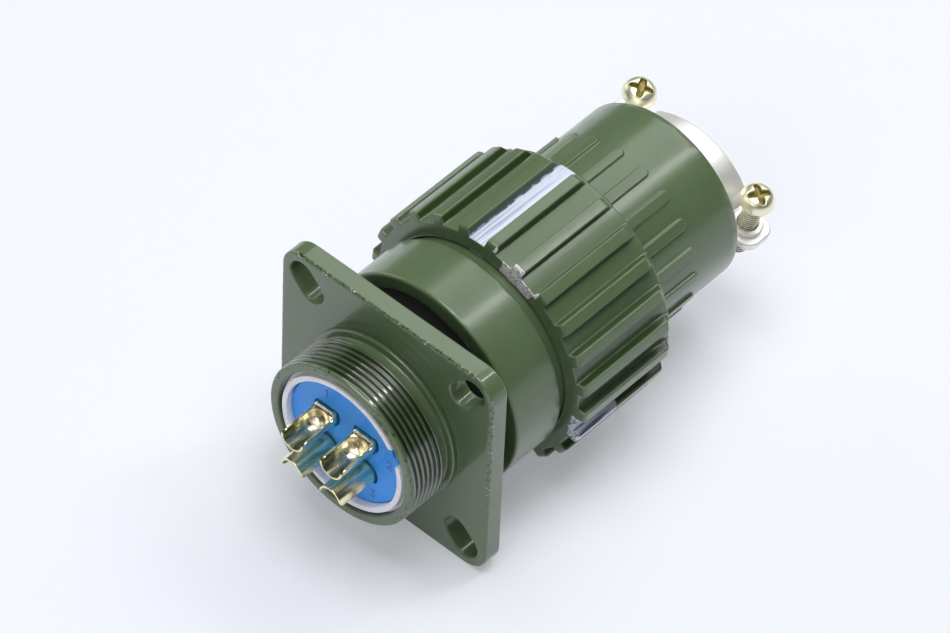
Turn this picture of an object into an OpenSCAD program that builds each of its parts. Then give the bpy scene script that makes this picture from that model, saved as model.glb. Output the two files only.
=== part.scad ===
// Four-contact circular connector: a square-flange receptacle mated with a
// ribbed cable plug. +X runs along the connector from the receptacle's solder
// cups to the plug's cable clamp, +Z is up, and X = 0 is the flange face that
// sits on a panel. Millimetres.

/* [Flange] */
// Side of the square mounting flange
flange_w = 41; // [40:0.5:44]
// Thickness of the flange
flange_t = 3.3; // [2.8:0.1:3.6]
// Radius of the flange corners
flange_corner_r = 4; // [3:0.5:4.5]
// Distance from the flange edge to each slot centre, along Y and along Z
slot_inset = 4.9; // [4.7:0.1:5.3]
// Width of each fixing slot
slot_w = 4.5; // [4:0.1:4.6]
// Overall length of each fixing slot
slot_len = 7.2; // [6:0.1:7.4]

/* [Rear barrel] */
// Length of the threaded barrel behind the flange
barrel_len = 9.2; // [9:0.1:10]
// Outside diameter of the barrel thread
thread_d = 28; // [27.6:0.1:28.4]
// Thread pitch
thread_pitch = 1; // [0.9:0.05:1]
// Number of thread crests
thread_turns = 6; // [5:1:6]

/* [Contacts] */
// Sideways spacing of the contacts
contact_dy = 7.6; // [7.2:0.1:7.8]
// Height spacing of the contacts
contact_dz = 6.8; // [6.4:0.1:7]
// Diameter of a mating pin
pin_d = 2.5; // [2:0.1:2.6]
// Outside diameter of a solder cup
cup_d = 3.4; // [3:0.1:3.5]

/* [Plug] */
// Diameter of the smooth band in front of the coupling ring
band_d = 36; // [35.6:0.1:36]
// X of the band's front edge
band_x = 8.8; // [8.4:0.1:9.2]
// Length of the band, which ends in a groove before the coupling ring
band_len = 9.7; // [9.4:0.1:10]
// X of the coupling ring's front face
ring_x = 20; // [19.8:0.1:20.2]
// Length of the coupling ring
ring_len = 18.6; // [18.4:0.1:19]
// Height of the coupling ring's floors above the band
ring_floor_h = 1.8; // [1.6:0.1:2]
// Height of the coupling ring's ribs above the floors
ring_rib_h = 1.5; // [1.2:0.1:1.8]
// Number of ribs on the coupling ring
ring_ribs = 24; // [20:1:26]
// Travel of the coupling ring when it is pulled back
ring_travel = 4; // [2:0.5:4]

/* [Backshell] */
// Length of the backshell
shell_len = 24.7; // [24:0.1:26]
// Wall of the backshell around the plug's spigot
shell_wall = 1.8; // [1.6:0.1:2]
// Number of ribs on the backshell
shell_ribs = 20; // [16:1:24]
// Length of the backshell's ribs
shell_rib_len = 15.3; // [12:0.1:17]

/* [Cable clamp] */
// Tilt of the clamp about the connector axis, in degrees
clamp_tilt = 13.5; // [0:0.5:20]
// Distance from the backshell's rear rim to the clamp screws
clamp_reach = 6.7; // [6:0.1:7.2]
// Distance from the axis to each clamp screw
screw_offset = 12.2; // [12:0.1:12.6]
// Length of thread that shows under each screw head
screw_standoff = 5.5; // [4.5:0.1:6]

/* [Hidden] */
$fn = 96;
eps = 0.01;
gap = 0.3;

// Receptacle, rear half
barrel_r = thread_d / 2;
thread_depth = 0.6;
lip_len = 1;
undercut = 0.75;
shoulder_h = 0.3;
bore_mouth_r = barrel_r - 1.6;
bore_r = bore_mouth_r - 1.3;
insert_r = bore_r - gap;
insert_recess = 1.15;
insert_face_x = insert_recess - barrel_len;
ring_t = 0.85;
ring_seat_x = insert_face_x + ring_t;
insert_split_x = ring_seat_x + 4.2;
key_angle = 64;
key_w = 1.8;
ledge_w = 1;
ledge_x = flange_t - 1.3;
slot_offset = flange_w / 2 - slot_inset;

// Contacts
pin_r = pin_d / 2;
pin_end_x = 15.1;
pin_tip = 1.6;
cup_r = cup_d / 2;
cup_wall = 0.45;
cup_bore_r = cup_r - cup_wall;
cup_depth = 5;
cup_mouth = 4.4;
cup_tip_x = insert_face_x - 7.45;
collar_r = cup_r + 0.6;
collar_t = 1.8;
pocket_r = cup_r + 0.7;
pocket_flat = 1.65;
pocket_depth = 1.4;
socket_r = pin_r + 0.85;
socket_depth = 15;

// Plug shell and the receptacle barrel inside it
band_r = band_d / 2;
band_step = 1;
band_end_x = band_x + band_len;
body_r = band_r - band_step;
body_wall = 1.5;
plug_bore_r = body_r - body_wall;
mate_r = plug_bore_r - gap;
mate_bore_r = mate_r - 2.3;
mate_end_x = band_x + 15.2;
nose_x = flange_t + 3.6;
nose_r = mate_bore_r - gap;
plug_ledge_x = mate_end_x + 2;
plug_ledge_t = 1.3;
insert_half = 2;
tail_insert_len = 6;
spigot_r = body_r - 3.4;
spigot_wall = 1.4;
core_r = spigot_r - spigot_wall - 0.1;
tail_cup_x = plug_ledge_x + 12.5;
seal_x = band_x + 6.2;
seal_t = 1.2;
latch_x = band_x + 11.7;
latch_t = 1.4;
face_seal_h = 2;
face_seal_step = 1.2;
ring_gap = 3;

// Coupling ring, its spring and the spring's seat
ring_end_x = ring_x + ring_len;
floor_r = band_r + ring_floor_h;
rib_r = floor_r + ring_rib_h;
rib_w = 2;
ring_slide_r = body_r + gap;
cavity_r = floor_r - 1;
spring_x = ring_x + 6;
spring_solid = 3;
spring_wall = 0.35;
spring_seat_x = spring_x + spring_solid + ring_travel;
seat_t = 1;
snap_depth = 0.65;
body_end_x = spring_seat_x + 3;
spigot_end_x = body_end_x + 6;
cap_t = 1.1;

// Backshell
shell_x = body_end_x + 0.1;
shell_end_x = shell_x + shell_len;
shell_r = spigot_r + shell_wall;
shell_rib_end_x = shell_x + shell_rib_len;
shell_rib_w = 1.8;
shell_rib_h = 0.5;
shell_lip = 1.2;
mouth_depth = 4;
cap_bore_r = shell_r + shell_rib_h + 0.35;
throat_r = spigot_r - 0.6;
grommet_x = spigot_end_x + 4;
grommet_end_x = shell_end_x - 4.8;
grommet_bore_r = 5;
grommet_washer_t = 1;

// Cable clamp
clamp_x = shell_end_x + clamp_reach;
screw_r = 1.5;
head_r = 2.75;
head_t = 2.3;
recess_w = 0.75;
recess_len = 2.9;
clamp_w = 6.2;
clamp_wall = 1.5;
clamp_r = screw_offset - 2;
seat_x = shell_end_x - 3.5;
cap_end_x = clamp_x - clamp_w / 2 - 0.3;
lug_reach = screw_offset + 3.5;
lug_t = 1.5;
lug_r = 2.2;
boss_w = 4;
boss_reach = screw_offset + 2.2;
arch_w = 5.2;
arch_half = screw_offset - head_r - gap;
arch_r = 12.8;
arch_top = 6.3;
split_z = -2.9;
washer_t = 0.8;
washer_r = 2.5;
head_z = split_z + lug_t + washer_t + screw_standoff;
screw_tail = 3;

SIGNS = [[-1, 1], [1, 1], [1, -1], [-1, -1]];

// Turns a shape drawn along Z so that it runs along +X from x.
module along_x(x = 0) {
    translate([x, 0, 0]) rotate([0, 90, 0]) children();
}

// Ring from x0 to x1 with outer radius ro and bore radius ri.
module tube(x0, x1, ro, ri) {
    along_x() rotate_extrude()
        translate([ri, x0]) square([ro - ri, x1 - x0]);
}

module rod(x0, x1, r) {
    along_x(x0) cylinder(r = r, h = x1 - x0);
}

// Solid of revolution about X from points [radius, x].
module turned(points) {
    along_x() rotate_extrude() polygon(points);
}

// Copies of the children at n equal steps about X.
module around(n, start = 0) {
    for (i = [0 : n - 1]) rotate([start + i * 360 / n, 0, 0]) children();
}

module at_contact(i) {
    translate([0, -SIGNS[i][0] * contact_dy / 2, SIGNS[i][1] * contact_dz / 2])
        children();
}

// Flat plate across X with rounded corners.
module square_plate(side, t, r) {
    along_x() linear_extrude(t) union() {
        square([side - 2 * r, side], center = true);
        square([side, side - 2 * r], center = true);
        for (y = [-1, 1], z = [-1, 1])
            translate([z, y] * (side / 2 - r)) circle(r);
    }
}

module radial_slot() {
    half = (slot_len - slot_w) / 2;
    along_x(-1) linear_extrude(flange_t + 2) union() {
        for (s = [-1, 1]) translate([s * half, 0]) circle(slot_w / 2);
        square([2 * half, slot_w], center = true);
    }
}

module threaded_profile() {
    root = barrel_r - thread_depth;
    start = -barrel_len + lip_len;
    crest = thread_pitch * 0.3;
    turned(concat(
        [[0, flange_t], [barrel_r + shoulder_h, flange_t],
         [barrel_r + shoulder_h, -undercut], [root - 0.3, -undercut],
         [root - 0.3, start + thread_turns * thread_pitch + 0.2]],
        [for (i = [thread_turns - 1 : -1 : 0])
            for (p = [[0, 1], [1, 0.65], [1, 0.35], [0, 0]])
                [root + p[0] * thread_depth,
                 start + (i + p[1] * 0.94 + 0.06) * thread_pitch]],
        [[root, start], [barrel_r - 0.1, start - 0.1],
         [barrel_r - 0.1, -barrel_len + 0.5],
         [barrel_r - 0.6, -barrel_len], [0, -barrel_len]]
    ));
}

module receptacle_shell() color("darkolivegreen") difference() {
    union() {
        square_plate(flange_w, flange_t, flange_corner_r);
        threaded_profile();
        rod(0, mate_end_x, mate_r);
    }
    for (y = [-1, 1], z = [-1, 1])
        translate([0, y * slot_offset, z * slot_offset])
            rotate([-y * z * 45, 0, 0]) radial_slot();
    rod(-barrel_len - 1, ring_seat_x, bore_mouth_r);
    rod(ring_seat_x - 1, ledge_x, bore_r);
    rod(ledge_x - 1, flange_t, bore_r - ledge_w);
    rod(flange_t, mate_end_x + 1, mate_bore_r);
}

// D-shaped pocket around a solder cup; its flat faces away from the axis.
module cup_pocket(i) {
    at_contact(i) along_x(insert_face_x - 1) linear_extrude(pocket_depth + 1)
        intersection() {
            circle(pocket_r);
            translate([SIGNS[i][1] * (pocket_r - pocket_flat), 0])
                square(2 * pocket_r, center = true);
        }
}

module receptacle_insulator() color("cornflowerblue") difference() {
    union() {
        rod(insert_face_x, insert_split_x, insert_r);
        rod(ring_seat_x, insert_split_x, bore_r - 0.1);
        rotate([key_angle, 0, 0])
            translate([insert_face_x, -key_w / 2, insert_r - 0.5])
                cube([ring_t, key_w, ledge_w + 0.9]);
    }
    for (i = [0 : 3]) {
        cup_pocket(i);
        at_contact(i) {
            rod(insert_face_x - 1, insert_split_x + 1, cup_r + 0.05);
            rod(insert_split_x - 1, insert_split_x + 1, collar_r + 0.05);
        }
    }
}

module receptacle_front_insulator() color("cornflowerblue") difference() {
    union() {
        rod(insert_split_x + 0.05, ledge_x - 0.05, bore_r - 0.1);
        rod(ledge_x - 1, flange_t + 2, bore_r - ledge_w - 0.1);
    }
    for (i = [0 : 3]) at_contact(i) {
        rod(insert_split_x - 1, insert_split_x + 1, collar_r + 0.05);
        rod(insert_split_x - 1, flange_t + 3, pin_r + 0.05);
    }
}

module receptacle_retaining_ring() color("gainsboro") difference() {
    union() {
        tube(ring_seat_x - ring_t + 0.1, ring_seat_x - 0.02,
             bore_mouth_r - 0.05, insert_r + 0.05);
        tube(-barrel_len + 0.1, ring_seat_x - ring_t + 0.2, insert_r + 0.95,
             insert_r + 0.05);
    }
    rotate([key_angle, 0, 0])
        translate([-barrel_len - 1, -key_w / 2 - 0.7, 0])
            cube([insert_recess + ring_t + 1, key_w + 1.4, barrel_r]);
}

module receptacle_face_seal() color("dimgray")
    turned([
        [mate_r + 0.02, flange_t + 0.02],
        [mate_r + face_seal_h, flange_t + 0.02],
        [mate_r + face_seal_h, band_x - 2.8],
        [mate_r + face_seal_h - face_seal_step, band_x - 2.4],
        [mate_r + face_seal_h - face_seal_step, band_x - 0.4],
        [mate_r + 0.02, band_x - 0.4]]);

// Solder cup that opens at x = tip; dir is +1 when it opens towards +X.
module solder_cup(tip, base, side, dir) {
    difference() {
        rod(min(tip, base), max(tip, base), cup_r);
        rod(dir > 0 ? tip - cup_depth : tip - 1,
            dir > 0 ? tip + 1 : tip + cup_depth, cup_bore_r);
        translate([dir > 0 ? tip - cup_mouth : tip - 1, -cup_r - 1,
                   side > 0 ? 0.3 : -cup_r - 1.3])
            cube([cup_mouth + 1, 2 * cup_r + 2, cup_r + 1]);
    }
}

module pin_contact(i) color("gold") at_contact(i) {
    solder_cup(cup_tip_x, insert_split_x, SIGNS[i][1], -1);
    rod(insert_split_x - collar_t / 2, insert_split_x + collar_t / 2,
        collar_r);
    rod(insert_split_x, pin_end_x - pin_tip * 0.7, pin_r);
    turned([[0, pin_end_x - pin_tip], [pin_r, pin_end_x - pin_tip * 0.7],
            [pin_r * 0.9, pin_end_x - pin_tip * 0.3],
            [pin_r * 0.55, pin_end_x - pin_tip * 0.06], [0, pin_end_x]]);
}
module pin_contact_1() pin_contact(0);
module pin_contact_2() pin_contact(1);
module pin_contact_3() pin_contact(2);
module pin_contact_4() pin_contact(3);

module plug_shell() color("darkolivegreen") difference() {
    turned([
        [spigot_r - spigot_wall, band_x], [band_r - 0.6, band_x],
        [band_r, band_x + 0.6], [band_r, band_end_x - 0.6],
        [band_r - 0.6, band_end_x], [body_r, band_end_x],
        [body_r, body_end_x],
        [spigot_r, body_end_x], [spigot_r, spigot_end_x],
        [spigot_r - spigot_wall, spigot_end_x]]);
    rod(band_x - 1, plug_ledge_x - plug_ledge_t, plug_bore_r);
    tube(seal_x, seal_x + seal_t, plug_bore_r + body_wall * 0.6,
         plug_bore_r - 1);
    tube(latch_x, latch_x + latch_t, plug_bore_r + body_wall * 0.53,
         plug_bore_r - 1);
    tube(spring_seat_x + seat_t + 0.02, spring_seat_x + 2 * seat_t + 0.06,
         body_r + 1, body_r - snap_depth - 0.05);
}

module plug_insulator() color("cornflowerblue") difference() {
    union() {
        rod(nose_x, plug_ledge_x - plug_ledge_t - 0.05, nose_r);
        rod(plug_ledge_x - plug_ledge_t - 1, plug_ledge_x + insert_half,
            core_r);
    }
    for (i = [0 : 3]) at_contact(i) {
        rod(0, plug_ledge_x + insert_half + 1, socket_r + 0.05);
        rod(plug_ledge_x + insert_half - collar_t / 2 - 0.05,
            plug_ledge_x + insert_half + 1, collar_r + 0.35);
    }
}

module plug_rear_insulator() color("cornflowerblue") difference() {
    rod(plug_ledge_x + insert_half + 0.05,
        plug_ledge_x + insert_half + tail_insert_len, core_r);
    for (i = [0 : 3]) at_contact(i) {
        rod(plug_ledge_x, tail_cup_x, cup_r + 0.05);
        rod(plug_ledge_x, plug_ledge_x + insert_half + collar_t / 2 + 0.05,
            collar_r + 0.35);
    }
}

module plug_retaining_ring() color("gainsboro") difference() {
    tube(plug_ledge_x + insert_half + tail_insert_len + 0.05,
         plug_ledge_x + insert_half + tail_insert_len + ring_t,
         core_r + 0.05, core_r - spigot_wall);
    rotate([180, 0, 0]) translate([plug_ledge_x, -ring_gap / 2, 0])
        cube([2 * tail_insert_len, ring_gap, band_r]);
}

module interface_seal() color("dimgray")
    tube(seal_x + 0.05, seal_x + seal_t - 0.05,
         plug_bore_r + body_wall * 0.57, plug_bore_r + 0.02);

module latch_ring() color("silver") difference() {
    tube(latch_x + 0.1, latch_x + latch_t - 0.1,
         plug_bore_r + body_wall * 0.47, plug_bore_r + 0.05);
    translate([latch_x - 1, -ring_gap / 2, 0])
        cube([latch_t + 2, ring_gap, band_r]);
}

module socket_contact(i) color("gold") at_contact(i) difference() {
    union() {
        rod(nose_x + 0.1, plug_ledge_x + insert_half, socket_r);
        rod(plug_ledge_x + insert_half - collar_t / 2,
            plug_ledge_x + insert_half + collar_t / 2, collar_r + 0.3);
        solder_cup(tail_cup_x, plug_ledge_x + insert_half, SIGNS[i][1], 1);
    }
    rod(nose_x - 1, nose_x + socket_depth, pin_r + 0.05);
}
module socket_contact_1() socket_contact(0);
module socket_contact_2() socket_contact(1);
module socket_contact_3() socket_contact(2);
module socket_contact_4() socket_contact(3);

// One lengthwise rib with sloped rear end, standing on radius root.
module ring_rib() {
    translate([0, -rib_w / 2, 0]) rotate([90, 0, 0]) mirror([0, 0, 1])
        linear_extrude(rib_w) polygon([
            [ring_x + 0.05, cavity_r], [ring_x + 0.05, floor_r + 0.5],
            [ring_x + 0.25, rib_r - 0.3], [ring_x + 0.6, rib_r],
            [ring_end_x - ring_rib_h, rib_r],
            [ring_end_x - 0.6, floor_r - 0.2], [ring_end_x - 0.6, cavity_r]]);
}

module coupling_ring() color("olivedrab") difference() {
    union() {
        turned([
            [ring_slide_r, ring_x], [floor_r - 0.2, ring_x],
            [floor_r, ring_x + 0.2], [floor_r, ring_end_x],
            [ring_slide_r, ring_end_x]]);
        around(ring_ribs, 5) ring_rib();
    }
    rod(spring_x, ring_end_x + 1, cavity_r);
}

module coupling_ring_cap() color("darkolivegreen")
    tube(ring_end_x - cap_t - 0.1, ring_end_x - 0.1, cavity_r - 0.02,
         cap_bore_r);

// Stack of wave washers drawn as one folded sleeve.
module coupling_spring() color("silver") {
    n = 5;
    pitch = (spring_seat_x - spring_x - 0.1) / n;
    x0 = spring_x + 0.05;
    inner = body_r + spring_wall;
    outer = cavity_r - gap;
    turned(concat(
        [for (i = [0 : 2 * n])
            [i % 2 == 0 ? inner : outer - spring_wall, x0 + i * pitch / 2]],
        [for (i = [2 * n : -1 : 0])
            [i % 2 == 0 ? inner + spring_wall : outer, x0 + i * pitch / 2]]
    ));
}

module spring_seat() color("silver")
    tube(spring_seat_x, spring_seat_x + seat_t, cavity_r - gap,
         body_r + 0.05);

module seat_snap_ring() color("silver") difference() {
    tube(spring_seat_x + seat_t + 0.04, spring_seat_x + 2 * seat_t + 0.04,
         body_r + 1, body_r - snap_depth);
    translate([spring_seat_x, -ring_gap / 2, -band_r])
        cube([3 * seat_t, ring_gap, band_r]);
}

// Pill-shaped rib along the backshell.
module shell_rib() {
    start = shell_x + 1;
    intersection() {
        translate([0, 0, shell_r - shell_wall / 2])
            linear_extrude(2 * shell_wall) union() {
            translate([start, -shell_rib_w / 2])
                square([shell_rib_end_x - shell_rib_w / 2 - start,
                        shell_rib_w]);
            translate([shell_rib_end_x - shell_rib_w / 2, 0])
                circle(shell_rib_w / 2);
        }
        rod(shell_x, shell_end_x, shell_r + shell_rib_h);
    }
}

module backshell() color("olivedrab") difference() {
    union() {
        rod(shell_x, shell_end_x, shell_r);
        around(shell_ribs, -1.5) shell_rib();
    }
    rod(shell_x - 1, spigot_end_x + 0.3, spigot_r + 0.05);
    rod(spigot_end_x - 1, shell_end_x - 2.5, throat_r);
    rod(shell_end_x - mouth_depth, shell_end_x + 1, shell_r - shell_lip);
}

module backshell_seal() color("dimgray")
    tube(spigot_end_x + 0.01, spigot_end_x + 0.29, spigot_r,
         spigot_r - spigot_wall + 0.1);

module cable_grommet() color("dimgray")
    tube(grommet_x, grommet_end_x, throat_r - 0.05, grommet_bore_r);

module grommet_washer() color("silver")
    tube(grommet_end_x + 0.02, grommet_end_x + grommet_washer_t,
         throat_r - 0.05, grommet_bore_r + 0.5);

module clamp_tilted() rotate([clamp_tilt, 0, 0]) children();

// Flat lug across both screws, centred on the clamp, with its top at z.
module cross_lug(w, reach, z) {
    translate([clamp_x, 0, z - lug_t]) linear_extrude(lug_t) union() {
        square([w - 2 * lug_r + eps, 2 * reach], center = true);
        square([w, 2 * (reach - lug_r)], center = true);
        for (x = [-1, 1], y = [-1, 1])
            translate([x * (w / 2 - lug_r), y * (reach - lug_r)])
                circle(lug_r);
    }
}

module screw_holes() {
    for (s = [-1, 1])
        translate([clamp_x, s * screw_offset, split_z - clamp_r])
            cylinder(r = screw_r + 0.15, h = 2 * clamp_r);
}

// Nickel end piece: a cap in the backshell's mouth, with the half tube and
// the two screw bosses that carry the cable.
module clamp_seat() color("whitesmoke") clamp_tilted() {
    bore = clamp_r - clamp_wall;
    turned([
        [bore, seat_x], [shell_r - shell_lip - 0.05, seat_x],
        [shell_r - shell_lip - 0.05, shell_end_x + 0.4],
        [clamp_r, cap_end_x], [bore, cap_end_x]]);
    intersection() {
        difference() {
            union() {
                rod(cap_end_x - 0.5, clamp_x + clamp_w / 2, clamp_r);
                translate([0, 0, split_z]) intersection() {
                    cross_lug(clamp_w, boss_reach, 0);
                    translate([clamp_x - boss_w / 2, -boss_reach, -lug_t])
                        cube([boss_w, 2 * boss_reach, lug_t]);
                }
            }
            rod(cap_end_x - 1, clamp_x + clamp_w, bore);
            screw_holes();
        }
        translate([shell_end_x, -lug_reach, split_z - clamp_r])
            cube([clamp_reach + clamp_w, 2 * lug_reach, clamp_r - eps]);
    }
}

// Arched strap over the cable, with a lug at each end.
module clamp_bar() color("whitesmoke") clamp_tilted() difference() {
    centre = arch_top - arch_r;
    front = clamp_x - clamp_w / 2;
    union() {
        cross_lug(clamp_w, lug_reach, split_z + lug_t);
        intersection() {
            translate([0, 0, centre]) rod(front, front + arch_w, arch_r);
            translate([front, -arch_half, split_z])
                cube([arch_w, 2 * arch_half, arch_top - split_z]);
        }
    }
    intersection() {
        translate([0, 0, centre])
            rod(front - 1, front + clamp_w + 1, arch_r - clamp_wall);
        translate([front - 1, clamp_wall - arch_half, split_z - 1])
            cube([clamp_w + 2, 2 * (arch_half - clamp_wall),
                  arch_top - split_z + 1]);
    }
    screw_holes();
}

module clamp_washers() color("silver") clamp_tilted()
    for (s = [-1, 1])
        translate([clamp_x, s * screw_offset, split_z + lug_t + eps])
            difference() {
                cylinder(r = washer_r, h = washer_t - eps);
                translate([0, 0, -1]) cylinder(r = screw_r + 0.1, h = 3);
            }

module clamp_screw(s) color("khaki") clamp_tilted()
    translate([clamp_x, s * screw_offset, 0]) {
        translate([0, 0, split_z - lug_t - screw_tail])
            cylinder(r = screw_r,
                     h = head_z - split_z + lug_t + screw_tail + 0.1);
        difference() {
            translate([0, 0, head_z]) rotate_extrude() polygon([
                [0, 0], [head_r, 0], [head_r, head_t * 0.4],
                [head_r * 0.87, head_t * 0.7], [head_r * 0.64, head_t * 0.91],
                [0, head_t]]);
            translate([0, 0, head_z + head_t]) {
                cube([recess_len, recess_w, head_t * 1.4], center = true);
                cube([recess_w, recess_len, head_t * 1.4], center = true);
            }
        }
    }
module clamp_screw_left() clamp_screw(1);
module clamp_screw_right() clamp_screw(-1);

receptacle_shell();
receptacle_insulator();
receptacle_front_insulator();
receptacle_retaining_ring();
receptacle_face_seal();
pin_contact_1();
pin_contact_2();
pin_contact_3();
pin_contact_4();
plug_shell();
plug_insulator();
plug_rear_insulator();
plug_retaining_ring();
interface_seal();
latch_ring();
socket_contact_1();
socket_contact_2();
socket_contact_3();
socket_contact_4();
coupling_ring();
coupling_ring_cap();
coupling_spring();
spring_seat();
seat_snap_ring();
backshell();
backshell_seal();
cable_grommet();
grommet_washer();
clamp_seat();
clamp_bar();
clamp_washers();
clamp_screw_left();
clamp_screw_right();
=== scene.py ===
# A four-contact circular connector: square-flange receptacle in olive enamel,
# mated with a ribbed cable plug. +X runs from the solder cups to the clamp.
import bmesh
import bpy
import math
from mathutils import Matrix, Vector


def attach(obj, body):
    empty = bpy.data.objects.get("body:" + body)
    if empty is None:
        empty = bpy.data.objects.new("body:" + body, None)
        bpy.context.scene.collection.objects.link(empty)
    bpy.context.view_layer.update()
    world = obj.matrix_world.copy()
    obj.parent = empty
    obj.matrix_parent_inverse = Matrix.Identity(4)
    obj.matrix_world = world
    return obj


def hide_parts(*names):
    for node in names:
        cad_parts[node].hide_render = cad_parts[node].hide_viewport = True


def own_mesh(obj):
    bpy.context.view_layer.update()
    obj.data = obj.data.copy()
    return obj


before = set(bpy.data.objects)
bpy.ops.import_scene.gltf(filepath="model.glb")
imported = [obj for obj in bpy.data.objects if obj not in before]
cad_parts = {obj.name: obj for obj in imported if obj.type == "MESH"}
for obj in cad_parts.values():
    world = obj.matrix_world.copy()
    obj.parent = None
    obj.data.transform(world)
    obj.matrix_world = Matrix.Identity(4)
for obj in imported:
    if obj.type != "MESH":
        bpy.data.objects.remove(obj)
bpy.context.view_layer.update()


# ---- Camera ----
# Long lens looking down on the connector from its solder-cup end, turned a
# little so that the connector runs up to the right.
def point_camera(place, azimuth, elevation, roll, lens):
    a, e, r = (math.radians(v) for v in (azimuth, elevation, roll))
    back = Vector((math.sin(a) * math.cos(e), -math.cos(a) * math.cos(e), math.sin(e)))
    right = Vector((math.cos(a), math.sin(a), 0))
    up = back.cross(right)
    across = math.cos(r) * right + math.sin(r) * up
    upward = math.cos(r) * up - math.sin(r) * right
    data = bpy.data.cameras.new("camera")
    data.lens = lens
    data.sensor_width = 36
    data.clip_start = 0.05
    data.clip_end = 20
    cam = bpy.data.objects.new("camera", data)
    turn = Matrix((across, upward, back)).transposed()
    cam.matrix_world = Matrix.Translation(place) @ turn.to_4x4()
    bpy.context.scene.collection.objects.link(cam)
    bpy.context.scene.camera = cam


point_camera((-0.48568, -0.42791, 0.73968), -49.728, 47.986, 2.688, 257.33)


# ---- Table ----
# Wide sheet of pale, faintly lavender card. The flange edge and the lowest
# ribs of the coupling ring rest on it, so it slopes a little along X.
MM = 0.001


class Field:
    """A number that varies over a surface. Arithmetic on it adds math nodes."""

    def __init__(self, tree, socket):
        self.tree = tree
        self.socket = socket

    def math(self, operation, *others):
        node = self.tree.nodes.new("ShaderNodeMath")
        node.operation = operation
        for slot, value in zip(node.inputs, (self, *others)):
            if isinstance(value, Field):
                self.tree.links.new(value.socket, slot)
            else:
                slot.default_value = value
        return Field(self.tree, node.outputs[0])

    def __add__(self, other):
        return self.math("ADD", other)

    def __sub__(self, other):
        return self.math("SUBTRACT", other)

    def __mul__(self, other):
        return self.math("MULTIPLY", other)

    def __truediv__(self, other):
        return self.math("DIVIDE", other)

    __radd__ = __add__
    __rmul__ = __mul__

    def __rsub__(self, other):
        return self * -1 + other

    def least(self, other):
        return self.math("MINIMUM", other)

    def most(self, other):
        return self.math("MAXIMUM", other)

    def above(self, edge, soft):
        """0 under the edge and 1 over it, with a soft step between."""
        node = self.tree.nodes.new("ShaderNodeMapRange")
        node.interpolation_type = "SMOOTHSTEP"
        node.inputs["From Min"].default_value = edge - soft
        node.inputs["From Max"].default_value = edge + soft
        self.tree.links.new(self.socket, node.inputs["Value"])
        return Field(self.tree, node.outputs["Result"])

    def within(self, low, high, soft):
        return self.above(low, soft) * (1 - self.above(high, soft))


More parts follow.
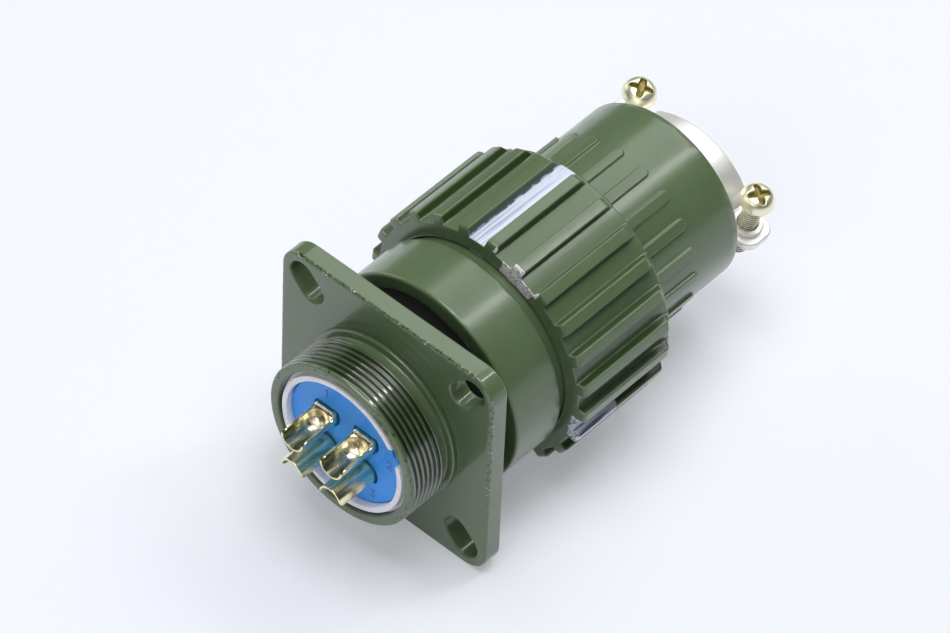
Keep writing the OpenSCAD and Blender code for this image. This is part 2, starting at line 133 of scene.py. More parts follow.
class Surface:
    """Material of one piece: a Principled shader, with fields in millimetres."""

    def __init__(self, name, colour, roughness, metallic=0.0):
        self.material = bpy.data.materials.new(name)
        self.material.use_nodes = True
        self.tree = self.material.node_tree
        self.shader = self.tree.nodes["Principled BSDF"]
        self.inputs = self.shader.inputs
        self.inputs["Base Color"].default_value = (*colour, 1)
        self.inputs["Roughness"].default_value = roughness
        self.inputs["Metallic"].default_value = metallic
        self.place = self.tree.nodes.new("ShaderNodeTexCoord").outputs["Object"]
        split = self.tree.nodes.new("ShaderNodeSeparateXYZ")
        self.tree.links.new(self.place, split.inputs[0])
        self.x, self.y, self.z = (Field(self.tree, s) * 1000 for s in split.outputs)
        self.last_bump = None

    def angle(self):
        """Degrees round the X axis, from the top towards -Y."""
        turn = (self.y * -1).math("ARCTAN2", self.z)
        return turn * (180 / math.pi)

    def radius(self):
        return (self.y * self.y + self.z * self.z).math("SQRT")

    def noise(self, size, detail=3.0, stretch=(1, 1, 1), roughness=0.5):
        """Smooth random field about 0.5; size is its grain in mm."""
        scale = self.tree.nodes.new("ShaderNodeMapping")
        scale.inputs["Scale"].default_value = [1000 / size / s for s in stretch]
        self.tree.links.new(self.place, scale.inputs["Vector"])
        node = self.tree.nodes.new("ShaderNodeTexNoise")
        node.inputs["Scale"].default_value = 1
        node.inputs["Detail"].default_value = detail
        node.inputs["Roughness"].default_value = roughness
        self.tree.links.new(scale.outputs["Vector"], node.inputs["Vector"])
        return Field(self.tree, node.outputs["Fac"])

    def paint(self, mask, colour):
        """Lays a colour over what is there, where the mask is 1."""
        mix = self.tree.nodes.new("ShaderNodeMix")
        mix.data_type = "RGBA"
        self.tree.links.new(mask.socket, mix.inputs["Factor"])
        under = self.inputs["Base Color"]
        if under.is_linked:
            self.tree.links.new(under.links[0].from_socket, mix.inputs["A"])
        else:
            mix.inputs[6].default_value = under.default_value
        mix.inputs[7].default_value = (*colour, 1)
        self.tree.links.new(mix.outputs[2], under)

    def shift(self, name, mask, value):
        """Moves a shader input towards a value where the mask is 1."""
        slot = self.inputs[name]
        if slot.is_linked:
            before = Field(self.tree, slot.links[0].from_socket)
            after = before + mask * (value - before)
        else:
            before = slot.default_value
            after = mask * (value - before) + before
        self.tree.links.new(after.socket, slot)

    def bump(self, height, depth):
        """Raises the surface by height (a field) times depth (mm)."""
        node = self.tree.nodes.new("ShaderNodeBump")
        node.inputs["Distance"].default_value = depth * MM
        self.tree.links.new(height.socket, node.inputs["Height"])
        if self.last_bump:
            self.tree.links.new(self.last_bump, node.inputs["Normal"])
        self.last_bump = node.outputs["Normal"]
        self.tree.links.new(self.last_bump, self.inputs["Normal"])


    def glow(self, share, colour):
        """Gives a share of the surface's brightness to what looks at it, as its own light."""
        path = self.tree.nodes.new("ShaderNodeLightPath")
        seen = Field(self.tree, path.outputs["Is Camera Ray"])
        for ray in ("Is Glossy Ray", "Is Transmission Ray"):
            seen = seen.most(Field(self.tree, path.outputs[ray]))
        light = self.tree.nodes.new("ShaderNodeEmission")
        light.inputs["Color"].default_value = (*colour, 1)
        light.inputs["Strength"].default_value = 1
        mix = self.tree.nodes.new("ShaderNodeMixShader")
        self.tree.links.new((seen * share).socket, mix.inputs["Fac"])
        self.tree.links.new(self.shader.outputs[0], mix.inputs[1])
        self.tree.links.new(light.outputs[0], mix.inputs[2])
        out = self.tree.nodes["Material Output"]
        self.tree.links.new(mix.outputs[0], out.inputs["Surface"])

    def near_line(self, u, v, points, width):
        """1 along the strokes joining points, in the plane of fields u and v."""
        nearest = None
        for (au, av), (bu, bv) in zip(points, points[1:]):
            du, dv = bu - au, bv - av
            along = ((u - au) * du + (v - av) * dv) / (du * du + dv * dv)
            along = along.most(0).least(1)
            gap_u, gap_v = u - au - along * du, v - av - along * dv
            gap = (gap_u * gap_u + gap_v * gap_v).math("SQRT")
            nearest = gap if nearest is None else nearest.least(gap)
        return 1 - nearest.above(width / 2, width / 4)


def new_object(name, mesh, surface):
    obj = bpy.data.objects.new(name, mesh)
    bpy.context.scene.collection.objects.link(obj)
    mesh.materials.append(surface.material)
    return obj


def build_table():
    slope = -0.8 / 20.2
    bm = bmesh.new()
    for x, y in ((-2, -2), (2, -2), (2, 2), (-2, 2)):
        bm.verts.new((x, y, -0.0205 + slope * x))
    bm.faces.new(bm.verts)
    mesh = bpy.data.meshes.new("table")
    bm.to_mesh(mesh)
    card = Surface("table_card", (0.83, 0.85, 0.92), 0.6)
    card.paint(card.noise(60, 2), (0.82, 0.838, 0.91))
    card.bump(card.noise(0.7, 3), 0.02)
    card.glow(0.3, (0.93, 0.955, 1.0))
    new_object("table", mesh, card)


build_table()


# ---- Lights ----
# One wide soft box above, a lower one behind the plug, and a room that is
# pale overhead and dim towards the viewer.
def soft_box(name, place, target, size, power, colour=(1, 1, 1)):
    data = bpy.data.lights.new(name, "AREA")
    data.shape = "RECTANGLE"
    data.size, data.size_y = size
    data.energy = power
    data.color = colour
    obj = bpy.data.objects.new(name, data)
    bpy.context.scene.collection.objects.link(obj)
    back = (Vector(place) - Vector(target)).normalized()
    turn = back.to_track_quat("Z", "Y").to_matrix().to_4x4()
    obj.matrix_world = Matrix.Translation(place) @ turn


def light_room():
    world = bpy.data.worlds.new("room")
    world.use_nodes = True
    tree = world.node_tree
    sky = tree.nodes["Background"]
    sky.inputs["Color"].default_value = (0.92, 0.95, 1, 1)
    place = tree.nodes.new("ShaderNodeTexCoord").outputs["Generated"]
    split = tree.nodes.new("ShaderNodeSeparateXYZ")
    tree.links.new(place, split.inputs[0])
    x, y, z = (Field(tree, s) for s in split.outputs)
    pale = (x * 0.5 + y * 0.45 + z * 0.6).above(0.35, 0.55)
    tree.links.new((pale * 0.06 + 0.02).socket, sky.inputs["Strength"])
    bpy.context.scene.world = world


soft_box("box_above", (0.0, -0.02, 1.0), (0.03, 0, 0), (0.65, 0.6), 7.2)
soft_box("box_behind", (0.75, 0.12, 0.72), (0.03, 0, 0), (0.9, 0.5), 3.4)
soft_box("box_over_plug", (0.62, -0.26, 0.95), (0.03, 0, 0), (0.09, 0.36), 1.15)
soft_box("box_front", (-0.68, -0.22, 0.7), (0.0, 0, 0), (0.6, 0.5), 2.2)
soft_box("box_left", (0.0, 0.94, 0.34), (0.0, 0, 0), (0.6, 0.5), 1.5)
light_room()
bpy.context.scene.view_settings.view_transform = "Standard"


# ---- Receptacle shell ----
# Cast and turned aluminium under thick olive enamel: a square flange with
# four diagonal slots, a fine thread behind it and the mating barrel in front.
def enamel(name, coat_rough=0.2):
    """Thick glossy olive enamel, a little uneven."""
    s = Surface(name, (0.094, 0.142, 0.066), 0.3)
    s.inputs["Specular IOR Level"].default_value = 0.35
    s.inputs["Coat Weight"].default_value = 0.75
    s.inputs["Coat Roughness"].default_value = coat_rough
    s.paint(s.noise(9, 2).above(0.5, 0.25), (0.104, 0.156, 0.074))
    s.shift("Roughness", s.noise(3, 3), 0.42)
    s.bump(s.noise(1.5, 1), 0.035)
    s.bump(s.noise(0.3, 1), 0.005)
    return s


def chip(s, mask, colour=(0.72, 0.70, 0.74), rough=0.32, metal=0.9):
    """Bare metal where the mask is 1, with a small step down at its edge."""
    s.paint(mask, colour)
    s.shift("Metallic", mask, metal)
    s.shift("Roughness", mask, rough)
    s.shift("Coat Weight", mask, 0)
    s.bump(mask * -1, 0.05)


def soften(points, steps=4):
    """Closed outline with round corners, from corners (x, r, corner radius)."""
    out = []
    for i, (x, r, bend) in enumerate(points):
        here = Vector((x, r))
        if bend == 0:
            out.append(here)
            continue
        to_last = Vector(points[i - 1][:2]) - here
        to_next = Vector(points[(i + 1) % len(points)][:2]) - here
        first = here + to_last.normalized() * min(bend, to_last.length * 0.48)
        last = here + to_next.normalized() * min(bend, to_next.length * 0.48)
        for k in range(steps + 1):
            t = k / steps
            out.append(first * (1 - t) ** 2 + here * 2 * t * (1 - t) + last * t * t)
    return [tuple(p) for p in out]


def polar(x, r, angle):
    a = math.radians(angle)
    return (x, -r * math.sin(a), r * math.cos(a))


def skin(loops, wrap=True):
    """Closed bmesh over a row of closed loops of points in mm."""
    bm = bmesh.new()
    rows = [[bm.verts.new([c * MM for c in p]) for p in loop] for loop in loops]
    pairs = list(zip(rows, rows[1:]))
    if wrap:
        pairs.append((rows[-1], rows[0]))
    else:
        bm.faces.new(rows[0])
        bm.faces.new(rows[-1])
    size = len(rows[0])
    for a, b in pairs:
        for k in range(size):
            n = (k + 1) % size
            bm.faces.new((a[k], b[k], b[n], a[n]))
    bmesh.ops.recalc_face_normals(bm, faces=bm.faces)
    return bm


def turned(outline, angles=192):
    """Solid of revolution about X; outline is a list or a function of angle."""
    if isinstance(angles, int):
        angles = [i * 360 / angles for i in range(angles)]
    shape = outline if callable(outline) else lambda angle: outline
    bm = skin([[polar(x, r, a) for x, r in shape(a)] for a in angles])
    bmesh.ops.remove_doubles(bm, verts=bm.verts, dist=1e-7)
    loose = [edge for edge in bm.edges if not edge.link_faces]
    bmesh.ops.delete(bm, geom=loose, context="EDGES")
    return bm


def to_mesh(name, *parts):
    """One smooth mesh from several bmesh parts."""
    whole = bmesh.new()
    for bm in parts:
        part = bpy.data.meshes.new("part")
        bm.to_mesh(part)
        bm.free()
        whole.from_mesh(part)
        bpy.data.meshes.remove(part)
    for face in whole.faces:
        face.smooth = True
    mesh = bpy.data.meshes.new(name)
    whole.to_mesh(mesh)
    whole.free()
    return mesh


def piece(name, body, surface, parts, nodes, edge=0):
    """A finished piece that moves with a body and stands for CAD nodes."""
    obj = new_object(name, to_mesh(name, *parts), surface)
    if edge:
        soft = obj.modifiers.new("soft_edges", "BEVEL")
        soft.width = edge * MM
        soft.segments = 2
        soft.limit_method = "ANGLE"
        soft.angle_limit = math.radians(35)
    sharp = obj.modifiers.new("even_normals", "WEIGHTED_NORMAL")
    sharp.keep_sharp = True
    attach(obj, body)
    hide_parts(*nodes)
    return obj


def plate(outlines, x0, x1, edge):
    """Flat plate across X with soft edges; the outlines are (y, z) loops."""
    curve = bpy.data.curves.new("plate", "CURVE")
    curve.dimensions = "2D"
    curve.fill_mode = "BOTH"
    curve.extrude = ((x1 - x0) / 2 - edge) * MM
    curve.bevel_depth = edge * MM
    curve.bevel_resolution = 3
    curve.offset = -edge * MM
    for loop in outlines:
        line = curve.splines.new("POLY")
        line.points.add(len(loop) - 1)
        for point, (y, z) in zip(line.points, loop):
            point.co = (y * MM, z * MM, 0, 1)
        line.use_cyclic_u = True
    obj = bpy.data.objects.new("plate", curve)
    bpy.context.scene.collection.objects.link(obj)
    bpy.context.view_layer.update()
    mesh = bpy.data.meshes.new_from_object(obj.evaluated_get(bpy.context.evaluated_depsgraph_get()))
    bpy.data.objects.remove(obj)
    bm = bmesh.new()
    bm.from_mesh(mesh)
    bmesh.ops.remove_doubles(bm, verts=bm.verts, dist=1e-6)
    across = Matrix(((0, 0, 1, (x0 + x1) / 2 * MM), (1, 0, 0, 0), (0, 1, 0, 0), (0, 0, 0, 1)))
    bmesh.ops.transform(bm, matrix=across, verts=bm.verts)
    bmesh.ops.recalc_face_normals(bm, faces=bm.faces)
    return bm


def arc(cy, cz, r, start, end, steps):
    turns = [math.radians(start + (end - start) * k / steps) for k in range(steps + 1)]
    return [(cy + r * math.cos(t), cz + r * math.sin(t)) for t in turns]


def flange_outlines(half, corner, inset, slot_w, slot_len):
    c = half - corner
    edge = arc(c, c, corner, 0, 90, 10) + arc(-c, c, corner, 90, 180, 10)
    edge += arc(-c, -c, corner, 180, 270, 10) + arc(c, -c, corner, 270, 360, 10)
    loops = [edge, arc(0, 0, 13.6, 0, 356.25, 95)]
    reach = (slot_len - slot_w) / 2
    for turn in (45, 135, 225, 315):
        a = math.radians(turn)
        y = math.copysign(half - inset, math.cos(a))
        z = math.copysign(half - inset, math.sin(a))
        out = (math.cos(a) * reach, math.sin(a) * reach)
        loop = arc(y + out[0], z + out[1], slot_w / 2, turn - 90, turn + 90, 12)
        loop += arc(y - out[0], z - out[1], slot_w / 2, turn + 90, turn + 270, 12)
        loops.append(loop)
    return loops


def rear_barrel(angle):
    """Outline of the threaded barrel at one angle; the thread is one helix."""
    front = soften([(-7.2, 12.4, 0), (-9.2, 12.4, 0.25), (-9.2, 13.9, 0.5), (-8.9, 13.97, 0)], 4)
    crests = []
    for k in range(141):
        x = -8.85 + k * (6.3 / 140)
        turn = (x + 8.64 - 0.97 * (angle - 23) / 360) / 0.97
        wave = min(1, (0.5 + 0.5 * math.cos(2 * math.pi * turn)) / 0.82)
        start = min(1, max(0, (x + 8.75) / 0.5))
        end = min(1, max(0, (-2.62 - x) / 0.35))
        crests.append((x, 13.98 - 0.5 * (1 - wave) * start * end))
    back = soften([(-2.5, 13.9, 0.05), (-2.42, 13.1, 0.3), (-0.78, 13.1, 0.25), (-0.75, 14.3, 0.25),
                   (0.3, 14.3, 0), (0.3, 11.1, 0), (-7.2, 11.1, 0)], 3)
    return front + crests + back


def receptacle_shell():
    s = enamel("receptacle_enamel", 0.08)
    barrel = s.x.within(-8.7, -2.5, 0.1) * (1 - s.radius().above(14.3, 0.1))
    painted_valley_shade = barrel * (1 - s.radius().above(13.84, 0.1))
    # Painted shade: the thread barrel is painted a darker green and its valleys darker still, for the
    # shade in the fine thread.
    s.paint(barrel, (0.06, 0.09, 0.035))
    s.paint(painted_valley_shade, (0.016, 0.026, 0.009))
    s.shift("Coat Weight", barrel, 1)
    s.shift("Coat Roughness", barrel, 0.035)
    s.shift("Coat IOR", barrel, 2.0)
    rim = (s.y.math("ABSOLUTE")).most(s.z.math("ABSOLUTE")).above(20.05, 0.1)
    worn_edge = rim * (1 - s.x.above(0.45, 0.15)) * s.z.above(-6, 4)
    flakes = s.noise(0.55, 3)
    patches = s.noise(4, 2).above(0.52, 0.08)
    chip(s, worn_edge * flakes.above(0.63, 0.03) * patches, (0.75, 0.75, 0.72), 0.35, 0.6)
    s.paint(worn_edge * (1 - flakes.above(0.41, 0.03)), (0.02, 0.035, 0.012))
    lip = (1 - s.x.above(-8.75, 0.1)) * s.radius().above(13.1, 0.1)
    s.paint(lip * (1 - s.noise(0.6, 3).above(0.39, 0.03)), (0.02, 0.035, 0.012))
    flange = plate(flange_outlines(20.5, 4, 4.9, 4.5, 7.2), 0, 3.3, 0.4)
    mating = soften([(0.5, 15.2, 0), (24, 15.2, 0.4), (24, 12.9, 0.3), (3.3, 12.9, 0.1),
                     (3.3, 10.1, 0), (2, 10.1, 0), (2, 11.1, 0), (0.5, 11.1, 0)])
    piece("receptacle_body", "receptacle", s,
          (flange, turned(rear_barrel, 240), turned(mating)), ["receptacle_shell"])


receptacle_shell()


# ---- Receptacle inserts ----
# Blue moulded insulators held by an off-white split ring. The face carries
# the contact numbers in shallow strokes.
def blue_plastic(name):
    s = Surface(name, (0.028, 0.33, 1.0), 0.34)
    s.paint(s.noise(4, 3).above(0.55, 0.2), (0.035, 0.35, 1.0))
    s.shift("Roughness", s.noise(0.8, 3), 0.42)
    s.bump(s.noise(0.25, 3), 0.008)
    return s


def ring_plastic(name):
    s = Surface(name, (0.96, 0.96, 1.0), 0.45)
    s.paint(s.noise(0.6, 3).above(0.6, 0.15), (0.86, 0.86, 0.94))
    s.bump(s.noise(0.3, 3), 0.02)
    return s


def on_solid(node, surface, edge=0.12, steps=2):
    """Finish for a CAD node: its material and small soft edges."""
    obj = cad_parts[node]
    obj.data.materials.clear()
    obj.data.materials.append(surface.material)
    weld = obj.modifiers.new("weld", "WELD")
    weld.merge_threshold = 1e-6
    soft = obj.modifiers.new("soft_edges", "BEVEL")
    soft.width = edge * MM
    soft.segments = steps
    soft.limit_method = "ANGLE"
    soft.angle_limit = math.radians(35)
    soft.harden_normals = True
    return obj


def insulator_face():
    """Rear insert: a disc with its key and a close pocket round each cup."""
    disc = turned(soften([(-8.05, 0, 0), (-8.05, 10.7, 0.15), (-7.2, 10.8, 0.1), (-7.2, 11, 0.1),
                          (-3, 11, 0.1), (-3, 0, 0)], 3), 120)
    key = []
    for x in (-8.05, -7.2):
        corners = [polar(x, 10.2, 59.5), polar(x, 12.15, 60), polar(x, 12.15, 68), polar(x, 10.2, 68.5)]
        key.append(corners)
    for side, level in ((1, 1), (-1, 1), (-1, -1), (1, -1)):
        y, z = 3.8 * side, 3.4 * level
        loop = arc(y, z, 2.52, 55 + 90 * level, 305 + 90 * level, 30)
        disc = cut(disc, skin([[(x, py, pz) for py, pz in loop] for x in (-9, -6.65)], False))
    s = blue_plastic("insert_blue")
    marks = {1: [(0, -0.8), (0, 0.8), (-0.4, 0.45)],
             2: [(0.45, -0.8), (-0.45, -0.8), (0.4, 0.2), (0.25, 0.75), (-0.25, 0.75), (-0.42, 0.4)],
             3: [(-0.42, 0.7), (0.4, 0.75), (0, 0.1), (0.45, -0.3), (0.1, -0.8), (-0.42, -0.6)],
             4: [(0.2, -0.8), (0.2, 0.8), (-0.5, -0.3), (0.5, -0.3)]}
    places = {1: (-3.8, 7.3), 2: (8.5, 1.4), 3: (5.4, -7.1), 4: (-8.4, -1.2)}
    for number, strokes in marks.items():
        u, v = places[number]
        line = s.near_line(s.y * -1, s.z, [(u + a, v + b) for a, b in strokes], 0.3)
        # The strokes are painted a darker blue: painted shade in the shallow moulded strokes.
        s.paint(line, (0.012, 0.15, 0.72))
        s.bump(line * -1, 0.03)
    piece("receptacle_insulator_body", "receptacle", s,
          (disc, skin(key, False)), ["receptacle_insulator"], 0.06)


def cut(bm, cutter):
    """What is left of bm once the cutter's volume is taken out of it."""
    pair = []
    for mesh_part in (bm, cutter):
        obj = bpy.data.objects.new("part", to_mesh("part", mesh_part))
        bpy.context.scene.collection.objects.link(obj)
        pair.append(obj)
    tool = pair[0].modifiers.new("cut", "BOOLEAN")
    tool.object = pair[1]
    tool.solver = "EXACT"
    bpy.context.view_layer.update()
    view = pair[0].evaluated_get(bpy.context.evaluated_depsgraph_get())
    out = bmesh.new()
    out.from_mesh(view.data)
    for obj in pair:
        bpy.data.objects.remove(obj)
    return out


insulator_face()
on_solid("receptacle_front_insulator", blue_plastic("front_insert_blue"))
on_solid("receptacle_retaining_ring", ring_plastic("retaining_ring_white"))


# ---- Face seal ----
# Black rubber ring on the mating barrel, between the flange and the plug.
def black_rubber(name):
    s = Surface(name, (0.005, 0.005, 0.005), 0.65)
    s.inputs["Specular IOR Level"].default_value = 0.08
    s.shift("Roughness", s.noise(1.2, 3), 0.8)
    s.bump(s.noise(0.3, 2), 0.01)
    return s


on_solid("receptacle_face_seal", black_rubber("face_seal_rubber"), 0.2)


# ---- Contacts ----
# Gold-plated pins and sockets with solder cups.
def gold(name):
    s = Surface(name, (0.96, 0.89, 0.58), 0.2, 1.0)
    s.paint(s.noise(1.1, 3).above(0.6, 0.15), (0.93, 0.82, 0.46))
    s.shift("Roughness", s.noise(0.6, 3).above(0.6, 0.2), 0.3)
    s.bump(s.noise(0.8, 1), 0.006)
    return s


def cup_mouth(up):
    """Volume cut from a solder cup to leave a scoop open towards up."""
    edge = []
    for k in range(9):
        t = k / 8
        edge.append((-15.5 + 1.1 * t, 0.35 - 1.0 * (1 - math.sqrt(1 - (1 - t) ** 2))))
    for k in range(9):
        t = k / 8
        edge.append((-9.6 + 1.1 * t, 0.35 + 0.9 * (1 - math.sqrt(1 - t * t))))
    edge = [(-17, 2.8), (-17, -0.65)] + edge + [(-6.75, 1.25), (-6.75, 2.8)]
    return skin([[(x, y, z * up) for x, z in edge] for y in (-2.8, 2.8)], False)


def pin_contact(number, y, z):
    up = 1 if z > 0 else -1
    outline = soften([(-15.5, 1.75, 0.06), (-15.5, 2.13, 0.1), (-6.8, 2.13, 0), (-6.8, 1.7, 0),
                      (-3.9, 1.7, 0), (-3.9, 2.3, 0.1),
                      (-2.1, 2.3, 0.1), (-2.1, 1.25, 0), (13.98, 1.25, 0.25), (15, 0.69, 0.3),
                      (15.1, 0, 0), (-8.5, 0, 0), (-9.2, 1.75, 0.5)], 3)
    solid = cut(turned(outline, 56), cup_mouth(up))
    bmesh.ops.translate(solid, verts=solid.verts, vec=(0, y * MM, z * MM))
    s = gold(f"pin_gold_{number}")
    dy, dz = s.y - y, s.z - z
    hollow = 1 - (dy * dy + dz * dz).math("SQRT").above(1.85, 0.1)
    solder = hollow * s.x.within(-10.8, -8.55, 0.6)
    # Painted shade: the inside of the open cup towards its tip is painted a dull dark olive-gold.
    s.paint(hollow * (1 - s.x.above(-11.3, 0.9)), (0.40, 0.40, 0.25))
    s.paint(solder, (1.0, 0.93, 0.70))
    s.shift("Roughness", solder, 0.28)
    s.bump(s.noise(1.3, 0) * solder, 0.35)
    piece(f"pin_contact_{number}_body", "receptacle", s, (solid,),
          [f"pin_contact_{number}"], 0.07)


for number, side, level in ((1, 1, 1), (2, -1, 1), (3, -1, -1), (4, 1, -1)):
    pin_contact(number, 3.8 * side, 3.4 * level)
    on_solid(f"socket_contact_{number}", gold(f"socket_gold_{number}"), 0.08)


# ---- Plug shell ----
# Olive band in front of the coupling ring and the long tube under it.
def plug_shell():
    s = enamel("plug_enamel")
    outline = soften([(8.8, 15.5, 0.2), (8.8, 18, 0.55), (18.5, 18, 0.7), (18.5, 17, 0.1),
                      (36, 17, 0.2), (36, 13.6, 0), (42, 13.6, 0.2), (42, 12.2, 0.1),
                      (24.7, 12.2, 0), (24.7, 15.5, 0)], 5)
    piece("plug_body", "plug", s, (turned(outline, 220),), ["plug_shell"])


plug_shell()
on_solid("plug_insulator", blue_plastic("plug_insert_blue"))
on_solid("plug_rear_insulator", blue_plastic("plug_rear_insert_blue"))
on_solid("plug_retaining_ring", ring_plastic("plug_ring_white"))
on_solid("interface_seal", black_rubber("interface_seal_rubber"))


# ---- Coupling ring ----
# Turned ring with 24 lengthwise ribs that is pulled back to let go. One
# floor is bare metal, and the enamel is chipped at the front.
def smooth(low, high, value):
    t = min(1, max(0, (value - low) / (high - low)))
    return t * t * (3 - 2 * t)


RIB_STEPS = (0, 0.3, 0.6, 0.75, 0.85, 0.93, 1.0, 1.07, 1.15, 1.25, 1.45, 1.8, 2.3)


def rib_angles(count, start, radius, steps):
    """Angles close together at the flanks of each rib."""
    pitch = 360 / count
    turns = [math.degrees(s / radius) for s in steps]
    one = sorted({-t for t in turns} | set(turns))
    return [start + pitch * i + t for i in range(count) for t in one]


def ring_outline(angle):
    pitch = 360 / 24
    off = (angle - 5 + pitch / 2) % pitch - pitch / 2
    rib = 1 - smooth(0.86, 1.16, abs(math.radians(off)) * 20.6)
    out = [(20, 17.6), (20, 18.6)]
    front = [(0, 19.56, 19.7), (0.02, 19.68, 20.5), (0.07, 19.76, 20.9), (0.16, 19.8, 21.08),
             (0.3, 19.8, 21.2), (0.48, 19.8, 21.28), (0.7, 19.8, 21.3)]
    back = [21.5 + 16.6 * k / 12 for k in range(13)]
    back += [38.4, 38.7, 38.95, 39.2, 39.45, 39.7, 39.9, 40.1]
    rows = [(20 + x, low, high) for x, low, high in front]
    rows += [(x, 19.8 - 0.25 * smooth(39.9, 40.3, x), 21.3 - 1.45 * smooth(38.3, 39.8, x))
             for x in back]
    for x, floor, top in rows:
        out.append((x, floor + rib * max(0, top - floor)))
    out += soften([(40.3, 19.5, 0.2), (40.3, 18.8, 0.1), (26, 18.8, 0), (26, 17.3, 0),
                   (20, 17.3, 0.1)], 2)
    return out


def coupling_ring():
    s = enamel("ring_enamel")
    angle, radius = s.angle(), s.radius()
    rough = s.noise(0.5, 3)
    wide = s.noise(1.4, 4)
    streak = s.noise(0.35, 2, (40, 1, 1))
    floor = 1 - radius.above(20.1, 0.15)
    # Painted shade: the rib flanks are painted near-black green, for the shade between the ribs.
    painted_flank_shade = radius.within(19.95, 20.95, 0.2) * s.x.within(20.35, 39.2, 0.1)
    s.paint(painted_flank_shade, (0.022, 0.045, 0.010))
    left = angle + (wide - 0.5) * 2.2
    behind = s.x.above(20.06, 0.03)
    stripe = left.within(-6.9, 1.3, 0.12) * floor * behind
    # Painted shade: a dark line along the left edge of the bare stripe, where it steps down from the
    # enamel.
    edge = left.within(-7.7, -6.7, 0.3) * floor * behind
    s.paint(edge, (0.10, 0.10, 0.16))
    # The bare stripe is aluminium; its blue tint is painted reflection.
    chip(s, stripe, (0.70, 0.76, 0.88), 0.5, 0.6)
    s.paint(stripe * streak.above(0.55, 0.1), (0.42, 0.46, 0.60))
    ragged = angle + (rough - 0.5) * 5 + (wide - 0.5) * 4
    face = 1 - s.x.above(20.1, 0.04)
    front = 1 - (s.x + (rough - 0.5) * 0.3).above(20.5, 0.05)
    bare = ragged.within(12.5, 31, 0.3) * face
    tooth = ragged.within(17, 23, 0.3) * front
    silver = bare.most(tooth)
    chip(s, silver, (0.98, 0.93, 0.97), 0.35, 0.35)
    nick = ragged.within(6.6, 8.6, 0.2) * radius.above(20.2, 0.1) * front
    nick = nick.most(ragged.within(31, 32.8, 0.2) * radius.within(19.4, 20.9, 0.1) * front)
    chip(s, nick, (0.98, 0.95, 0.97), 0.3, 0.35)
    worn = ragged.within(98, 112, 0.4) * (s.x + (wide - 0.5) * 6).within(19.9, 28.5, 0.3)
    worn = worn * (radius + (rough - 0.5) * 2).above(19.1, 0.1)
    chip(s, worn, (0.70, 0.71, 0.85), 0.5, 0.1)
    s.paint(worn * streak.above(0.56, 0.06), (0.12, 0.13, 0.16))
    speckle = s.noise(0.32, 3)
    s.paint(silver * (1 - speckle.above(0.44, 0.03)), (0.46, 0.40, 0.47))
    s.bump(speckle * silver, 0.3)
    angles = rib_angles(24, 5, 20.6, RIB_STEPS)
    piece("coupling_ring_body", "release_ring", s, (turned(ring_outline, angles),),
          ["coupling_ring"])


coupling_ring()
on_solid("coupling_ring_cap", enamel("ring_cap_enamel"))


# ---- Ring latch and spring ----
# Plain ground steel parts inside the coupling ring.
def ground_steel(name):
    s = Surface(name, (0.58, 0.58, 0.60), 0.3, 1.0)
    s.shift("Roughness", s.noise(0.4, 2, (1, 6, 6)), 0.42)
    s.bump(s.noise(0.4, 2, (1, 8, 8)), 0.01)
    return s


def coupling_spring():
    """Stack of wave washers between the ring's shoulder and its seat."""
    start, end, folds, wall = 26.05, 32.95, 5, 0.35
    low, high = 17.35, 18.35
    step = (end - start) / folds / 2
    inner = [(start + i * step, high if i % 2 else low) for i in range(2 * folds + 1)]
    outline = inner + [(x, r + wall) for x, r in reversed(inner)]
    obj = piece("coupling_spring_body", "plug",
                ground_steel("coupling_spring_steel"), (turned(outline, 96),), ["coupling_spring"])
    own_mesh(obj)


coupling_spring()
for node in ("latch_ring", "spring_seat", "seat_snap_ring"):
    on_solid(node, ground_steel(node + "_steel"), 0.05)


# ---- Backshell ----
# Olive screwed-on rear shell with twenty low, round-ended ribs.
SHELL_STEPS = (0, 0.3, 0.5, 0.65, 0.74, 0.82, 0.9, 0.98, 1.08, 1.25, 1.6, 2.1)


def shell_outline(angle):
    pitch = 360 / 20
    off = abs(math.radians((angle + 1.5 + pitch / 2) % pitch - pitch / 2)) * 15.4
    xs = [36.3, 36.6, 36.9, 37.05, 37.2, 37.5] + [37.5 + 12.5 * k / 10 for k in range(1, 11)]
    xs += [50.1 + 0.08 * k for k in range(21)] + [52 + 8.3 * k / 8 for k in range(9)]
    out = [(36.1, 15.2)]
    for x in xs:
        inside = 0.9 - math.hypot(off, max(0, x - 50.5))
        inside = min(inside, x - 37)
        out.append((x, 15.4 + 0.45 * smooth(-0.1, 0.12, inside)))
    out += soften([(60.8, 15.4, 0.45), (60.8, 14.2, 0.3), (56.8, 14.2, 0.2), (56.8, 13, 0),
                   (42.3, 13, 0), (42.3, 13.65, 0), (36.1, 13.65, 0)], 4)
    return out


def backshell():
    s = enamel("backshell_enamel")
    angles = rib_angles(20, -1.5, 15.4, SHELL_STEPS)
    piece("backshell_body", "plug", s, (turned(shell_outline, angles),), ["backshell"])


backshell()
on_solid("backshell_seal", black_rubber("backshell_seal_rubber"), 0.05)
on_solid("cable_grommet", black_rubber("grommet_rubber"), 0.2)
on_solid("grommet_washer", ground_steel("grommet_washer_steel"), 0.05)


# ---- Cable clamp ----
# Nickel-plated end piece and arched strap, held by two screws.
def nickel(name):
    s = Surface(name, (0.93, 0.92, 0.89), 0.42, 0.7)
    s.paint(s.noise(2, 3).above(0.6, 0.2), (0.88, 0.86, 0.80))
    s.shift("Roughness", s.noise(0.9, 3), 0.5)
    s.bump(s.noise(0.7, 3), 0.02)
    return s


on_solid("clamp_seat", nickel("clamp_seat_nickel"), 0.25, 3)
on_solid("clamp_bar", nickel("clamp_bar_nickel"), 0.3, 3)
on_solid("clamp_washers", nickel("clamp_washer_nickel"), 0.2, 3)


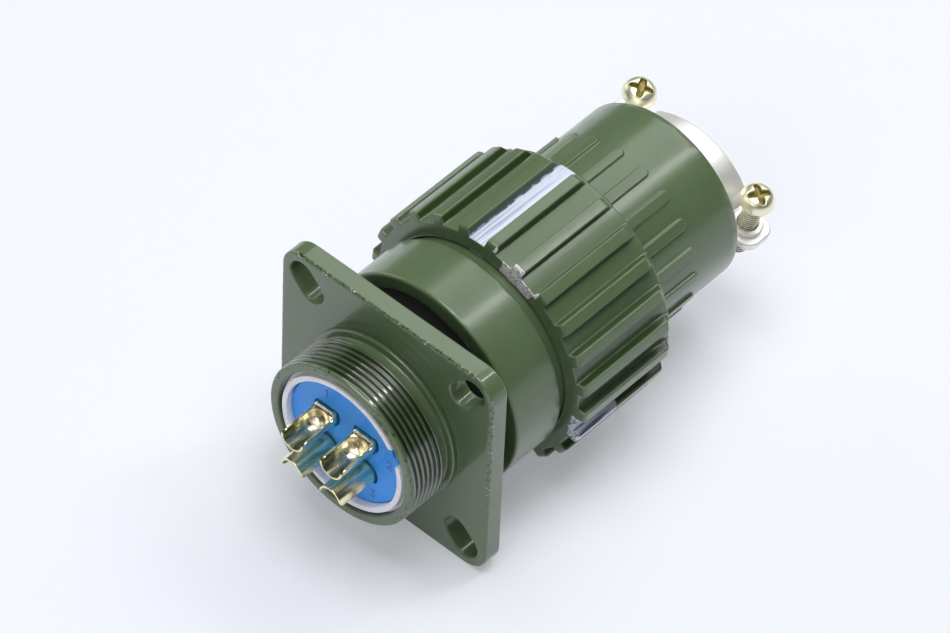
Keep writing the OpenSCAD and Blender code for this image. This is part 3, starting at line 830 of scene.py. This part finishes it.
# ---- Clamp screws ----
# Pan-head screws in pale yellow zinc with a cross recess.
def yellow_zinc(name):
    s = Surface(name, (0.95, 0.93, 0.70), 0.32, 0.85)
    s.paint(s.noise(1.6, 2).above(0.6, 0.2), (0.90, 0.86, 0.58))
    s.shift("Roughness", s.noise(0.8, 3), 0.38)
    s.bump(s.noise(0.8, 2), 0.006)
    return s


def cross_recess(r, angle):
    """Depth of the cross recess at a place on the head."""
    u, v = (abs(r * f(math.radians(angle))) for f in (math.cos, math.sin))
    arm = min((u / 1.85) ** 4 + (v / 0.55) ** 3, (v / 1.85) ** 4 + (u / 0.55) ** 3)
    round_centre = (math.hypot(u, v) / 0.85) ** 2
    return smooth(1.2, 0.75, min(arm, round_centre)) * (1.5 - 0.42 * r)


def screw_outline(angle, turn):
    """Threaded shank and pan head of a clamp screw at one angle, (height, r)."""
    out = [(-7.4, 0), (-7.4, 1.1), (-7.1, 1.3)]
    for k in range(141):
        h = -7 + k * 0.085
        wave = 0.5 + 0.5 * math.cos(2 * math.pi * (h / 0.5 - angle / 360))
        out.append((h, 1.5 - 0.34 * (1 - wave)))
    out += [(4.9, 1.5), (4.9, 2.5), (4.93, 2.64), (5.02, 2.72)]
    for r in [2.745, 2.72, 2.66, 2.56, 2.42, 2.25, 2.05] + [1.9 - 0.1 * k for k in range(20)]:
        h = 4.9 + 2.3 * (1 - (max(0, r) / 2.75) ** 3.2) ** 0.45
        out.append((h - cross_recess(max(0, r), angle - turn), max(0, r)))
    return out


def clamp_screw(name, side, turn):
    bm = turned(lambda angle: screw_outline(angle, turn), 96)
    lean = math.radians(13.5)
    out = Vector((0, math.cos(lean), math.sin(lean)))
    up = Vector((0, -math.sin(lean), math.cos(lean)))
    place = Vector((67.5, 0, 0)) + out * 12.2 * side
    grid = Matrix((up, out, Vector((-1, 0, 0)))).transposed().to_4x4()
    bmesh.ops.transform(bm, matrix=Matrix.Translation(place * MM) @ grid, verts=bm.verts)
    s = yellow_zinc(f"{name}_zinc")
    height = s.y * up.y + s.z * up.z
    sideways = s.y * out.y + s.z * out.z - 12.2 * side
    lengthwise = s.x - 67.5
    off_axis = (lengthwise * lengthwise + sideways * sideways).math("SQRT")
    # Painted shade: the cross recess is painted a dark brownish olive.
    recess = height.within(5.3, 6.78, 0.1) * (1 - off_axis.above(2.05, 0.1))
    s.paint(recess, (0.24, 0.19, 0.05))
    s.shift("Metallic", recess, 0.5)
    s.shift("Roughness", recess, 0.45)
    # Painted shade: the thread roots of the shank are painted near-black.
    painted_root_shade = height.within(-7.2, 4.85, 0.05) * (1 - off_axis.above(1.36, 0.06))
    s.paint(painted_root_shade, (0.05, 0.04, 0.012))
    s.shift("Metallic", painted_root_shade, 0.2)
    piece(f"{name}_body", "plug", s, (bm,), [name])


clamp_screw("clamp_screw_left", 1, 29)
clamp_screw("clamp_screw_right", -1, -30)
